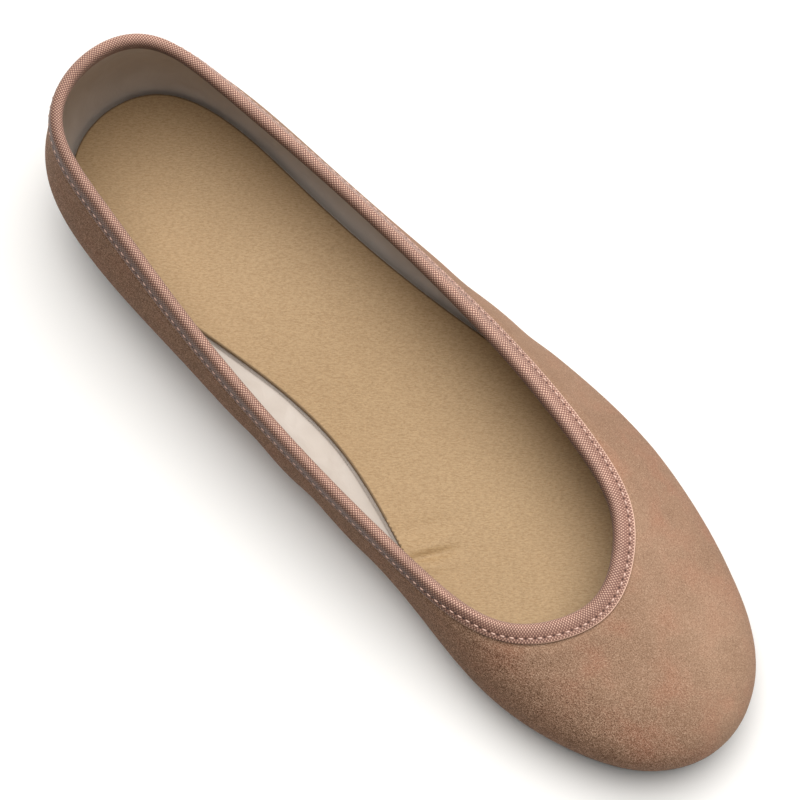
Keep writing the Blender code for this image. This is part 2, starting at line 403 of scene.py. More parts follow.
def new_material(name: str) -> tuple[Material, Tree, Socket]:
    """Make a node material.

    Args:
        name: What the stuff is and how it was made.

    Returns:
        The material, its node tree and the Object coordinates in it.
    """
    material = bpy.data.materials.new(name)
    material.use_nodes = True
    return material, material.node_tree, add_node(material.node_tree, "TexCoord", output="Object")


def add_node(
    tree: Tree, kind: str, settings: dict[str | int, Any] | None = None, output: str | int = 0
) -> Socket:
    """Add a node with its settings and links.

    Args:
        tree: The node tree.
        kind: Blender's type name after "ShaderNode".
        settings: By property name, input name or input number, a value or a socket to link.
        output: The name or number of the output that is wanted.

    Returns:
        That output.
    """
    node = tree.nodes.new("ShaderNode" + kind)
    for name, value in (settings or {}).items():
        if isinstance(value, Socket):
            tree.links.new(value, node.inputs[name])
        elif isinstance(name, str) and hasattr(node, name):
            setattr(node, name, value)
        else:
            node.inputs[name].default_value = value
    return node.outputs[output]


def shade(
    tree: Tree,
    gloss: dict[str, Any],
    colour: Rgba | Socket,
    reliefs: tuple[tuple[Socket, Relief], ...],
) -> None:
    """Set the Principled shader's own sockets, its colour and its relief.

    Args:
        tree: The node tree.
        gloss: Constant socket values.
        colour: The base colour, constant or as it varies over the surface.
        reliefs: Patterns that are pressed into the surface, the broadest first.
    """
    inputs = tree.nodes["Principled BSDF"].inputs
    for name, value in gloss.items():
        inputs[name].default_value = value
    if isinstance(colour, Socket):
        tree.links.new(colour, inputs["Base Color"])
    else:
        inputs["Base Color"].default_value = colour
    under = {}
    for height, (strength, depth_mm) in reliefs:
        bump = {"Strength": strength, "Distance": depth_mm * MM, "Height": height} | under
        under = {"Normal": add_node(tree, "Bump", bump)}
    tree.links.new(under["Normal"], inputs["Normal"])


def ranges(values: Span, results: Span = FULL) -> dict[str, float]:
    """Settings of a Map Range node, from its range of values and its range of results."""
    return dict(zip(("From Min", "From Max", "To Min", "To Max"), values + results))


@dataclass(frozen=True)
class Grain:
    """A noise pattern: how large its features really are, and how they are broken up."""

    size_mm: float
    detail: float = 2.0
    roughness: float = 0.5
    distortion: float = 0.0

    def at(self, place: Socket) -> dict[str, Any]:
        """Settings of a noise node on some coordinates.

        Args:
            place: The coordinates, in metres.

        Returns:
            The settings by input name.
        """
        broken = {"Detail": self.detail, "Roughness": self.roughness, "Distortion": self.distortion}
        return broken | {"Scale": per_metre(self.size_mm), "Vector": place}


def facing_lit_side(tree: Tree) -> Socket:
    """Measure how far the surface faces the lit outer side, from -1 to 1, for painted light and
    shade.
    """
    normal = add_node(tree, "NewGeometry", output="Normal")
    dot = {"operation": "DOT_PRODUCT", 0: normal, 1: LIT_SIDE}
    return add_node(tree, "VectorMath", dot, "Value")


@dataclass(frozen=True)
class Tint:
    """A colour that comes up over another as a pattern's value goes from start to full."""

    colour: str
    start: float
    full: float
    most: float = 1.0
    easing: str = "LINEAR"

    def over(self, tree: Tree, under: Rgba | Socket, value: Socket) -> Socket:
        """Lay the tint over a colour.

        Args:
            tree: The node tree.
            under: The colour underneath.
            value: The pattern's value.

        Returns:
            The mixed colour.
        """
        shown = {"interpolation_type": self.easing, "Value": value}
        shown |= ranges((self.start, self.full), (0.0, self.most))
        share = add_node(tree, "MapRange", shown)
        mix = {"data_type": "RGBA", 0: share, 6: under, 7: linear(self.colour)}
        return add_node(tree, "Mix", mix, 2)


@dataclass(frozen=True)
class PaintedLightAndShade:
    """Painted light and shade: what multiplies a cloth's colour where it faces away from the lit
    side, and towards it.

    reach holds the two values of the facing measure where these tones are met.
    """

    away: Rgba
    towards: Rgba
    reach: Span

    def tone(self, tree: Tree, colour: Socket, facing_light: Socket) -> Socket:
        """Paint light and shade into a colour by the way its surface faces the light.

        Args:
            tree: The node tree.
            colour: The cloth's own colour.
            facing_light: How far the surface faces the lit side.

        Returns:
            The toned colour.
        """
        share = add_node(tree, "MapRange", {"Value": facing_light} | ranges(self.reach))
        mix = {"data_type": "RGBA", 0: share, 6: self.away, 7: self.towards}
        tone = add_node(tree, "Mix", mix, 2)
        return add_node(tree, "VectorMath", {"operation": "MULTIPLY", 0: colour, 1: tone})


# Finishes


@dataclass(frozen=True)
class SuedeFinish:
    """Goat suede, dyed and brushed: matt, mottled, with a short nap."""

    tan: str = "#93745D"
    rosy: Tint = Tint("#9B6F58", 0.45, 0.70, 0.75)
    brushed: Tint = Tint("#9E8068", 0.40, 0.68, 0.6)
    rubbed: Tint = Tint("#866A53", 0.50, 0.30, 0.35)
    between_fibres: Tint = Tint("#553725", 0.0, -1.0)
    fibre_tips: Tint = Tint("#CBAB92", 0.0, 1.0)
    rim_light: str = "#E8D2C0"
    patches: Grain = Grain(9.0, 3.0)
    clouds: Grain = Grain(30.0)
    streaks: Grain = Grain(1.0, distortion=1.5)
    nap: Grain = Grain(0.30, 1.0, 0.6)
    ripple: Grain = Grain(5.0)
    streak_gain: float = 0.8
    nap_gain: float = 2.9
    nap_offset: float = -1.85
    # Painted shade and light: the flecks are painted stronger on faces turned from the lit side,
    # and the colour is multiplied darker there and lighter towards it
    shown_reach: Span = (-0.9, 0.25)
    shown: Span = (1.65, 0.45)
    suede_painted_light_and_shade: PaintedLightAndShade = PaintedLightAndShade((0.52, 0.45, 0.41, 1.0), (1.21, 1.22, 1.26, 1.0), (-1.0, 0.14))
    suede_painted_shade_facing_light: PaintedLightAndShade = PaintedLightAndShade(WHITE, (0.89, 0.86, 0.85, 1.0), (0.18, 0.9))
    ripple_relief: Relief = (0.5, 0.6)
    nap_relief: Relief = (0.8, 0.22)

    def material(self) -> Material:
        """Build the material.

        Returns:
            A matt, softly mottled material with a fine nap.
        """
        # Suede scatters light in its nap: no gloss, a faint light rim, patches where the nap lies
        # another way. Faces that turn from the lit outer side are painted darker, with stronger
        # flecks,
        # faces turned to it are painted lighter, and faces turned fully to it a little darker
        # again:
        # painted shade and light. It is drawn coarser than real, so that it shows
        material, tree, place = new_material("goat_suede_brushed")
        patches, clouds, streaks, nap, ripple = (
            add_node(tree, "TexNoise", grain.at(place))
            for grain in (self.patches, self.clouds, self.streaks, self.nap, self.ripple)
        )
        facing_light = facing_lit_side(tree)
        share = EASED | ranges(self.shown_reach, self.shown)
        shown = add_node(tree, "MapRange", share | {"Value": facing_light})
        combine = {"operation": "MULTIPLY_ADD"}
        fibres = add_node(tree, "Math", combine | {0: nap, 1: self.nap_gain, 2: self.nap_offset})
        fibres = add_node(tree, "Math", combine | {0: streaks, 1: self.streak_gain, 2: fibres})
        fibres = add_node(tree, "Math", {"operation": "MULTIPLY", 0: fibres, 1: shown})
        colour = linear(self.tan)
        tints = ((self.rosy, patches), (self.brushed, clouds), (self.rubbed, patches))
        tints += ((self.between_fibres, fibres), (self.fibre_tips, fibres))
        for tint, value in tints:
            colour = tint.over(tree, colour, value)
        # Painted shade on faces turned from the light, painted light on faces turned to it
        colour = self.suede_painted_shade_facing_light.tone(tree, self.suede_painted_light_and_shade.tone(tree, colour, facing_light), facing_light)
        gloss = {"Roughness": 0.95, "Specular IOR Level": 0.10, "Sheen Weight": 0.12}
        gloss |= {"Sheen Roughness": 0.5, "Sheen Tint": linear(self.rim_light)}
        reliefs = ((ripple, self.ripple_relief), (streaks, self.nap_relief), (nap, self.nap_relief))
        shade(tree, gloss, colour, reliefs)
        return material


@dataclass(frozen=True)
class TapeFinish:
    """Woven polyester tape: staggered picks, a stitch line with needle holes, a selvage.

    Each span holds the values, across the tape in millimetres or of a wave, where a
    band starts to show and where it is full.
    """

    pale: str = "#D6B09D"
    rose: str = "#A47C6C"
    gap: str = "#77544A"
    # Painted shade inside the needle holes
    hole_shade: str = "#4A3129"
    columns_per_stitch: int = 3
    row_mm: float = 0.56
    wander: Grain = Grain(6.0)
    fuzz: Grain = Grain(0.5)
    dot_span: Span = (-0.15, 0.75)
    ribbed_span: Span = (3.6, 2.8)
    edge_rows_span: Span = (1.25, 0.75)
    selvage_span: Span = (0.42, 0.22)
    hole_span: Span = (-0.70, -0.95)
    hole_reach_span: Span = (0.36, 0.12)
    hole_past_line_mm: float = 0.12
    worn_span: Span = (0.6, 1.4)
    worn_tones: Span = (0.86, 1.14)
    dots_shown: Span = (0.95, 0.40)
    # Painted shade and light: the tape is multiplied darker where it faces the inner side, away
    # from the light, and lighter where it faces the lit outer side
    yarn_painted_light_and_shade: PaintedLightAndShade = PaintedLightAndShade((0.40, 0.33, 0.26, 1.0), (1.34, 1.35, 1.33, 1.0), (-0.9, 0.3))
    relief: Relief = (0.8, 0.16)

    def material(self) -> Material:
        """Build the material, which reads the tape's own UV map.

        U counts stitches along the tape and V is in millimetres from its outer edge.

        Returns:
            A woven material.
        """
        # Polyester yarn has a faint shine on each pick, with dark gaps between the picks. The real
        # picks lie 0.64 mm apart and are drawn 0.8 mm apart, so that they show in this picture
        material, tree, place = new_material("polyester_tape_woven")
        uv = add_node(tree, "UVMap", {"uv_map": "tape"})
        along, across, _ = add_node(tree, "SeparateXYZ", {"Vector": uv}).node.outputs
        wander, fuzz = (
            add_node(tree, "TexNoise", grain.at(place)) for grain in (self.wander, self.fuzz)
        )
        repeats = ((along, self.columns_per_stitch), (across, 0.5 / self.row_mm), (along, 1))
        turns = (
            add_node(tree, "Math", {"operation": "MULTIPLY", 0: run, 1: 2.0 * math.pi * often})
            for run, often in repeats
        )
        columns, rows, stitches = (
            add_node(tree, "Math", {"operation": "COSINE", 0: turn}) for turn in turns
        )
        picks = add_node(tree, "Math", {"operation": "MULTIPLY", 0: columns, 1: rows})
        line_mm = Binding.STITCH_LINE_MM + self.hole_past_line_mm
        aside = add_node(tree, "Math", {"operation": "SUBTRACT", 0: across, 1: line_mm})
        aside = add_node(tree, "Math", {"operation": "ABSOLUTE", 0: aside})
        dots, ribbed, edge_rows, selvage, holes, near = (
            add_node(tree, "MapRange", EASED | {"Value": value} | ranges(span))
            for value, span in (
                (picks, self.dot_span), (across, self.ribbed_span),
                (across, self.edge_rows_span), (across, self.selvage_span),
                (stitches, self.hole_span), (aside, self.hole_reach_span),
            )
        )
        clamped = {"operation": "SUBTRACT", "use_clamp": True}
        dull = add_node(tree, "Math", clamped | {0: ribbed, 1: edge_rows})
        show = add_node(tree, "MapRange", {"Value": dull} | ranges(FULL, self.dots_shown))
        clear = add_node(tree, "Math", {"operation": "MULTIPLY", 0: dots, 1: show})
        pits = add_node(tree, "Math", {"operation": "MULTIPLY", 0: holes, 1: near})
        weave = linear(self.gap)
        # The pits' dark colour is painted shade in the needle holes, which are also pressed in as
        # pits
        yarns = ((dots, self.rose), (clear, self.pale), (selvage, self.pale), (pits, self.hole_shade))
        for share, colour in yarns:
            mix = {"data_type": "RGBA", 0: share, 6: weave, 7: linear(colour)}
            weave = add_node(tree, "Mix", mix, 2)
        worn = add_node(tree, "Math", {"operation": "ADD", 0: wander, 1: fuzz})
        worn = add_node(tree, "MapRange", {"Value": worn} | ranges(self.worn_span, self.worn_tones))
        colour = add_node(tree, "VectorMath", {"operation": "SCALE", 0: weave, "Scale": worn})
        # Painted shade where the tape turns from the light, painted light where it turns to it
        colour = self.yarn_painted_light_and_shade.tone(tree, colour, facing_lit_side(tree))
        height = add_node(tree, "Math", {"operation": "SUBTRACT", 0: dots, 1: pits})
        gloss = {"Roughness": 0.62, "Specular IOR Level": 0.35}
        gloss |= {"Sheen Weight": 0.15, "Sheen Roughness": 0.4}
        shade(tree, gloss, colour, ((height, self.relief),))
        return material


@dataclass(frozen=True)
class ThreadFinish:
    """Twisted polyester sewing thread."""

    pale: Tint = Tint("#E6C9BC", 0.0, 1.0)
    shaded: str = "#C9A598"
    twist: Grain = Grain(0.35, 1.0)
    # Painted shade and light: the thread is darker where it faces away from the light, lighter
    # where it faces it
    yarn_painted_light_and_shade: PaintedLightAndShade = PaintedLightAndShade((0.38, 0.31, 0.25, 1.0), (1.12, 1.10, 1.08, 1.0), (-0.9, 0.3))
    relief: Relief = (0.5, 0.06)

    def material(self) -> Material:
        """Build the material.

        Returns:
            A pale, slightly glossy thread.
        """
        # Polyester thread has a soft shine, broken by the turns of its twist
        material, tree, place = new_material("polyester_thread_twisted")
        twist = add_node(tree, "TexNoise", self.twist.at(place))
        colour = self.pale.over(tree, linear(self.shaded), twist)
        # Painted shade and light by the way the thread faces the light
        colour = self.yarn_painted_light_and_shade.tone(tree, colour, facing_lit_side(tree))
        gloss = {"Roughness": 0.6, "Specular IOR Level": 0.22}
        shade(tree, gloss, colour, ((twist, self.relief),))
        return material


@dataclass(frozen=True)
class InsoleFinish:
    """Vegetable tanned sock leather: fine wrinkled grain, a few specks, a darker rim."""

    tan: str = "#A78962"
    pale: Tint = Tint("#B0936C", 0.0, 1.0)
    wrinkle: Tint = Tint("#92734C", 0.60, 0.34, 0.80)
    speck: Tint = Tint("#7A5C38", 0.07, 0.04, 0.3)
    rim: Tint = Tint("#5A4529", 0.65, 0.25, 0.82, "SMOOTHSTEP")
    clouds: Grain = Grain(22.0, 3.0)
    wrinkles: Grain = Grain(0.36, 3.0, 0.6, 0.6)
    wrinkle_stretch: float = 3.0
    wrinkle_turn_deg: float = 45.0
    speck_gap_mm: float = 3.2
    grain: Grain = Grain(0.35, 1.0)
    grain_tones: Span = (0.86, 1.14)
    wrinkle_relief: Relief = (0.7, 0.14)
    grain_relief: Relief = (0.3, 0.06)

    def material(self) -> Material:
        """Build the material, which reads the insole's own rim attribute.

        Returns:
            A smooth tan leather.
        """
        # Thin sock leather is smooth and half matt, with wrinkles that run one way across the bed
        material, tree, place = new_material("sock_leather_vegetable_tanned")
        turn = (0.0, 0.0, math.radians(self.wrinkle_turn_deg))
        stretch = {"vector_type": "TEXTURE", "Scale": (self.wrinkle_stretch, 1.0, 1.0)}
        turned = add_node(tree, "Mapping", stretch | {"Rotation": turn, "Vector": place})
        wrinkles, clouds, grain = (
            add_node(tree, "TexNoise", pattern)
            for pattern in (self.wrinkles.at(turned), self.clouds.at(place), self.grain.at(place))
        )
        cells = {"Scale": per_metre(self.speck_gap_mm), "Vector": place}
        specks = add_node(tree, "TexVoronoi", cells, "Distance")
        rim = add_node(tree, "Attribute", {"attribute_name": "rim_mm"}, "Fac")
        colour = linear(self.tan)
        tints = ((self.pale, clouds), (self.wrinkle, wrinkles))
        tints += ((self.speck, specks), (self.rim, rim))
        for tint, value in tints:
            colour = tint.over(tree, colour, value)
        tone = add_node(tree, "MapRange", {"Value": grain} | ranges(FULL, self.grain_tones))
        colour = add_node(tree, "VectorMath", {"operation": "SCALE", 0: colour, "Scale": tone})
        gloss = {"Roughness": 0.58, "Specular IOR Level": 0.4}
        gloss |= {"Coat Weight": 0.04, "Coat Roughness": 0.4}
        shade(tree, gloss, colour, ((wrinkles, self.wrinkle_relief), (grain, self.grain_relief)))
        return material


@dataclass(frozen=True)
class LiningFinish:
    """Pigmented lining leather, off-white and smooth."""

    cream: Tint = Tint("#D2C8BF", 0.0, 1.0)
    shadow: str = "#BFB3A8"
    pulls: Grain = Grain(7.0, 3.0, distortion=0.8)
    pores: Grain = Grain(0.7)
    pull_relief: Relief = (0.5, 0.5)
    pore_relief: Relief = (0.3, 0.08)

    def material(self) -> Material:
        """Build the material.

        Returns:
            A smooth cream leather with a fine grain.
        """
        # Pigmented pigskin lining: even colour, soft shine, faint pores and pulls
        material, tree, place = new_material("lining_leather_pigmented")
        pulls, pores = (
            add_node(tree, "TexNoise", grain.at(place)) for grain in (self.pulls, self.pores)
        )
        colour = self.cream.over(tree, linear(self.shadow), pulls)
        gloss = {"Roughness": 0.55, "Specular IOR Level": 0.4}
        shade(tree, gloss, colour, ((pulls, self.pull_relief), (pores, self.pore_relief)))
        return material


@dataclass(frozen=True)
class RubberFinish:
    """Moulded rubber sheet: dark, half matt, with a fine tread on its underside."""

    name: str
    dark: str = "#5A4435"
    dusty: Tint = Tint("#6E5643", 0.45, 0.75, 0.6)
    dust: Grain = Grain(11.0, 4.0, 0.65)
    stipple: Grain = Grain(0.6)
    tread_mm: float = 2.4
    under_span: Span = (-0.6, -0.9)
    tread_relief: Relief = (0.5, 0.5)
    stipple_relief: Relief = (0.4, 0.08)

    def material(self) -> Material:
        """Build the material.

        Returns:
            A dark rubber, ribbed where it faces down.
        """
        # Moulded rubber is half matt and holds dust in its grain. The tread is pressed into its
        # underside
        material, tree, place = new_material(self.name)
        dust, stipple = (
            add_node(tree, "TexNoise", grain.at(place)) for grain in (self.dust, self.stipple)
        )
        wave = {"Scale": per_metre(self.tread_mm) * math.pi / WAVE_RADIANS, "Vector": place}
        ribs = add_node(tree, "TexWave", {"bands_direction": "X"} | wave, "Fac")
        normal = add_node(tree, "NewGeometry", output="Normal")
        facing = add_node(tree, "SeparateXYZ", {"Vector": normal}, "Z")
        under = add_node(tree, "MapRange", {"Value": facing} | ranges(self.under_span))
        tread = add_node(tree, "Math", {"operation": "MULTIPLY", 0: ribs, 1: under})
        colour = self.dusty.over(tree, linear(self.dark), dust)
        gloss = {"Roughness": 0.6, "Specular IOR Level": 0.45}
        shade(tree, gloss, colour, ((tread, self.tread_relief), (stipple, self.stipple_relief)))
        return material


def finish_piece(piece: Piece, material: Material, nodes: tuple[CadNode, ...]) -> None:
    """Dress a piece, put it on the shoe's body and report it.

    Args:
        piece: The mesh object, finished.
        material: Its only material.
        nodes: The CAD nodes that it stands for.
    """
    piece.data.materials.clear()
    piece.data.materials.append(material)
    select_only(piece)
    bpy.ops.object.shade_smooth()
    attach(piece, "root")
    if nodes:
        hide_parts(*(node.value for node in nodes))
    triangles = sum(len(face.vertices) - 2 for face in piece.data.polygons)
    LOG.info("%s: %d triangles, %s", piece.name, triangles, material.name)


# Sub-assemblies


@dataclass
class Upper:
    """Suede outside and leather lining, the two faces of the upper's wall."""

    skin_mm: float = 0.62
    divisions: int = 2
    tape_press_mm: float = 0.22
    press_from_tape_mm: float = 2.6
    press_width_mm: float = 1.6
    rim_above_mm: float = 20.0
    rim_depth_mm: float = 4.0
    ray_start_mm: float = 0.05
    inside_height_mm: float = 16.0
    inside_reach_mm: Span = (-90.0, 85.0)
    creases: tuple[Crease, ...] = (
        Crease(Flat.PLAN, (22.0, 33.0), (48.0, 36.0), 4.0, -0.55),
        Crease(Flat.PLAN, (28.0, 27.0), (56.0, 30.0), 3.5, 0.30),
        Crease(Flat.PLAN, (63.5, 28.0), (77.0, 26.5), 2.4, -0.35),
        Crease(Flat.PLAN, (66.0, 31.5), (80.0, 30.0), 3.0, 0.20),
        Crease(Flat.PLAN, (84.0, 8.0), (92.0, 26.0), 5.0, -0.35),
        Crease(Flat.PLAN, (78.0, -22.0), (100.0, -6.0), 6.0, -0.30),
        Crease(Flat.PLAN, (91.0, -19.0), (97.0, -8.0), 3.0, -0.20),
        Crease(Flat.PLAN, (114.0, -2.0), (119.0, 7.5), 2.0, -0.22),
        Crease(Flat.SIDE, (-8.0, 8.0), (6.0, 26.0), 5.0, -0.50, -1),
        Crease(Flat.SIDE, (8.0, 7.0), (22.0, 24.0), 5.0, 0.30, -1),
        Crease(Flat.SIDE, (-30.0, 10.0), (-14.0, 30.0), 6.0, -0.45, -1),
        Crease(Flat.SIDE, (-20.0, 10.0), (-8.0, 28.0), 6.0, -0.45, 1),
        Crease(Flat.SIDE, (2.0, 8.0), (14.0, 24.0), 5.0, -0.45, 1),
    )

    def faces_on_rim(self, piece: Piece) -> Array:
        """Find the faces on the upper's top edge, where the wall is deepest behind the face.

        Args:
            piece: The merged copy of the upper.

        Returns:
            One flag for each face, true on the topline's rim.
        """
        tree = tree_of(piece)
        flags = []
        for face in piece.data.polygons:
            start = face.center - face.normal * self.ray_start_mm * MM
            depth = tree.ray_cast(start, -face.normal)[3] or 0.0
            flags.append(depth > self.rim_depth_mm * MM and face.center.z > self.rim_above_mm * MM)
        return np.array(flags)

    def faces_outside(self, piece: Piece) -> Array:
        """Tell the upper's outer faces from those inside the shoe.

        Args:
            piece: The merged copy of the upper.

        Returns:
            One flag for each face, true where it faces away from the foot.
        """
        centres, normals = face_places(piece)
        foot = np.zeros_like(centres)
        foot[:, 0] = np.clip(centres[:, 0], *(reach * MM for reach in self.inside_reach_mm))
        foot[:, 2] = self.inside_height_mm * MM
        return (np.einsum("ij,ij->i", normals, centres - foot) > 0.0) | self.faces_on_rim(piece)

    def build_skin(self, name: str, outside: bool) -> Piece:
        """Cut one face of the upper out as a sheet and give it a thickness, into the wall.

        Args:
            name: The piece's name.
            outside: True for the suede, false for the lining.

        Returns:
            The closed piece.
        """
        piece = copy_of_node(CadNode.UPPER, name)
        doomed = self.faces_outside(piece) != outside
        edit_faces(piece, doomed, bpy.ops.mesh.delete, {"type": "FACE"})
        subdivide_smoothly(piece, self.divisions)
        crease_surface(piece, self.creases, 1.0 if outside else -1.0)
        if outside:
            self.press_under_tape(piece)
        wall = {"thickness": self.skin_mm * MM, "offset": -1.0, "use_rim": True}
        apply_modifier(piece, "SOLIDIFY", wall)
        return piece

    def press_under_tape(self, piece: Piece) -> None:
        """Let the suede swell a little just outside the tape that presses it.

        Args:
            piece: The suede, still a sheet.
        """
        tape = tree_of(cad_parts[CadNode.BINDING.value])
        points = points_of(piece)
        away = np.array([tape.find_nearest(point)[3] for point in points]) / MM
        swell = np.exp(-(((away - self.press_from_tape_mm) / self.press_width_mm) ** 2))
        swell *= self.tape_press_mm * MM
        move_points(piece, points + normals_of(piece) * swell[:, None])

    def build(self) -> None:
        """Build and dress the suede and the lining."""
        suede = self.build_skin("upper_suede", True)
        finish_piece(suede, SuedeFinish().material(), (CadNode.UPPER,))
        lining = self.build_skin("upper_lining", False)
        finish_piece(lining, LiningFinish().material(), (CadNode.UPPER,))


@dataclass
class Binding:
    """Woven tape folded over the topline, and the stitches that hold it."""

    STITCH_LINE_MM = 1.55

    divisions: int = 2
    stations: int = 720
    plan_squash: float = 0.32
    smoothing: int = 8
    fold_arc_mm: float = 2.5
    stitch_pitch_mm: float = 2.45
    stitch_length_mm: float = 1.50
    stitch_width_mm: float = 0.54
    stitch_depth_mm: float = 0.36
    stitch_lift_mm: float = 0.16
    stitch_droop: float = 2.2
    run_reach_mm: float = 0.8
    groove_mm: float = 0.14
    groove_width_mm: float = 0.5
    line_band_mm: float = 0.22
    line_band_places: float = 2.0
    places_per_seam_point: int = 3
    places_per_edge_bin: int = 4
    bins_near_edge: int = 3
    edge_smoothing: int = 4

    def topline(self) -> tuple[Array, Array]:
        """Find the middle of the upper's top rim, all round the shoe.

        Returns:
            Points along the closed line, evenly spaced in metres, and the upward
            directions of the wall there.
        """
        guide = copy_of_node(CadNode.UPPER, "rim_guide")
        rim = Upper().faces_on_rim(guide)
        centres, ups = face_places(guide)
        centres, ups = centres[rim], ups[rim]
        bpy.data.objects.remove(guide)
        middle = (centres.min(axis=0) + centres.max(axis=0)) / 2.0
        along, aside = (centres[:, axis] - middle[axis] for axis in (0, 1))
        order = np.argsort(np.arctan2(aside, along * self.plan_squash))
        centres, ups = centres[order], ups[order]
        line, ups = (resample_loop(rows, centres, self.stations) for rows in (centres, ups))
        return smooth_round(line, self.smoothing), smooth_round(ups, self.smoothing)

    def tape_places(self, piece: Piece, line: Array, ups: Array) -> tuple[Array, Array]:
        """Give each vertex its place along the topline and its distance across the tape.

        Across, the distance runs round the fold: straight along each flange, and by
        the angle over the top.

        Args:
            piece: The rounded tape.
            line: The middle of the upper's rim.
            ups: The wall's upward directions there.

        Returns:
            The place along the line, counted in its points, and the distance from the
            fold's middle in millimetres, above zero on the outside of the shoe.
        """
        points = points_of(piece)
        search = search_tree(line)
        near = np.array([search.find(point)[1] for point in points])
        run = np.roll(line, -1, axis=0) - np.roll(line, 1, axis=0)
        step = np.linalg.norm(run, axis=1) / 2.0
        run /= 2.0 * step[:, None]
        out = np.cross(run, ups)
        out /= np.linalg.norm(out, axis=1)[:, None]
        away = points - line[near]
        slide = np.einsum("ij,ij->i", away, run[near])
        over = np.einsum("ij,ij->i", away, ups[near]) / MM
        aside = np.einsum("ij,ij->i", away, out[near]) / MM
        fold = self.fold_arc_mm * np.arctan2(aside, np.maximum(over, 0.0)) / (math.pi / 2.0)
        flange = np.sign(aside) * (self.fold_arc_mm - over)
        return (near + slide / step[near]) % len(line), np.where(over > 0.0, fold, flange)

    def edge_reach(self, places: Array, across: Array) -> Array:
        """Measure how far the tape's outer edge lies from the fold's middle.

        Args:
            places: Each vertex's place along the topline.
            across: Its distance from the fold's middle in millimetres.

        Returns:
            The outer edge's distance at each vertex's place.
        """
        bins = self.stations // self.places_per_edge_bin
        half = bins // 2
        nearest = (places / self.stations * bins).astype(int) % bins
        gaps = (np.abs((nearest - k + half) % bins - half) for k in range(bins))
        reach = np.array([across[gap < self.bins_near_edge].max() for gap in gaps])
        reach = smooth_round(reach, self.edge_smoothing)
        middles = np.arange(bins + 1) + 0.5
        return np.interp(places / self.stations * bins, middles, np.append(reach, reach[0]))

    def build_tape(self) -> tuple[Piece, Array, Array, int]:
        """Build the tape with its UV map.

        Returns:
            The tape, the points of its stitch line, the outward directions there and the
            number of stitches.
        """
        piece = copy_of_node(CadNode.BINDING, "binding_tape_loop")
        subdivide_smoothly(piece, self.divisions)
        line, ups = self.topline()
        places, across = self.tape_places(piece, line, ups)
        from_edge = self.edge_reach(places, across) - across
        points, normals = points_of(piece), normals_of(piece)
        wall = tree_of(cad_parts[CadNode.UPPER.value])
        lift = points - np.array([wall.find_nearest(point)[0][:] for point in points])
        shown = np.einsum("ij,ij->i", normals, lift) > 0.0
        off_line = (from_edge - self.STITCH_LINE_MM) / self.groove_width_mm
        groove = self.groove_mm * MM * np.exp(-(off_line**2)) * shown
        move_points(piece, points - normals * groove[:, None])
        seam, outward = self.stitch_line(piece, places, from_edge, shown)
        lengths = loop_lengths(seam)
        count = round(lengths[-1] / (self.stitch_pitch_mm * MM))
        bins = np.arange(len(seam) + 1) * (len(line) / len(seam))
        stitches = np.interp(places, bins, lengths / lengths[-1] * count)
        self.write_uv(piece, stitches, from_edge, count)
        return piece, seam, outward, count

    def stitch_line(
        self, piece: Piece, places: Array, from_edge: Array, shown: Array
    ) -> tuple[Array, Array]:
        """Average the tape's outer face along its stitch line.

        Args:
            piece: The tape.
            places: Each vertex's place along the fold.
            from_edge: Its distance from the tape's outer edge in millimetres.
            shown: True where it's on the tape's outer face.

        Returns:
            Points round the loop and the outward directions there.
        """
        points, normals = points_of(piece), normals_of(piece)
        off_line = (from_edge - self.STITCH_LINE_MM) / self.line_band_mm
        across_weight = np.exp(-(off_line**2)) * shown
        seam, outward = [], []
        for middle in np.arange(0.0, self.stations, self.places_per_seam_point):
            gap = np.abs(places - middle)
            gap = np.minimum(gap, self.stations - gap)
            weight = across_weight * np.exp(-((gap / self.line_band_places) ** 2))
            seam.append(weight @ points / weight.sum())
            outward.append(weight @ normals)
        directions = np.array(outward)
        return np.array(seam), directions / np.linalg.norm(directions, axis=1)[:, None]

    def write_uv(self, piece: Piece, stitches: Array, from_edge: Array, count: int) -> None:
        """Write the tape's UV map, unbroken across the loop's start.

        Args:
            piece: The tape.
            stitches: Each vertex's place along the tape, counted in stitches.
            from_edge: Its distance from the tape's outer edge in millimetres.
            count: Stitches round the loop.
        """
        mesh = piece.data
        corners = np.array([corner.vertex_index for corner in mesh.loops])
        along = stitches[corners]
        firsts = [[along[face.loop_start]] * face.loop_total for face in mesh.polygons]
        along = along - np.round((along - np.concatenate(firsts)) / count) * count
        places = np.column_stack((along, from_edge[corners])).astype(np.float32)
        mesh.uv_layers.new(name="tape").data.foreach_set("uv", places.ravel())

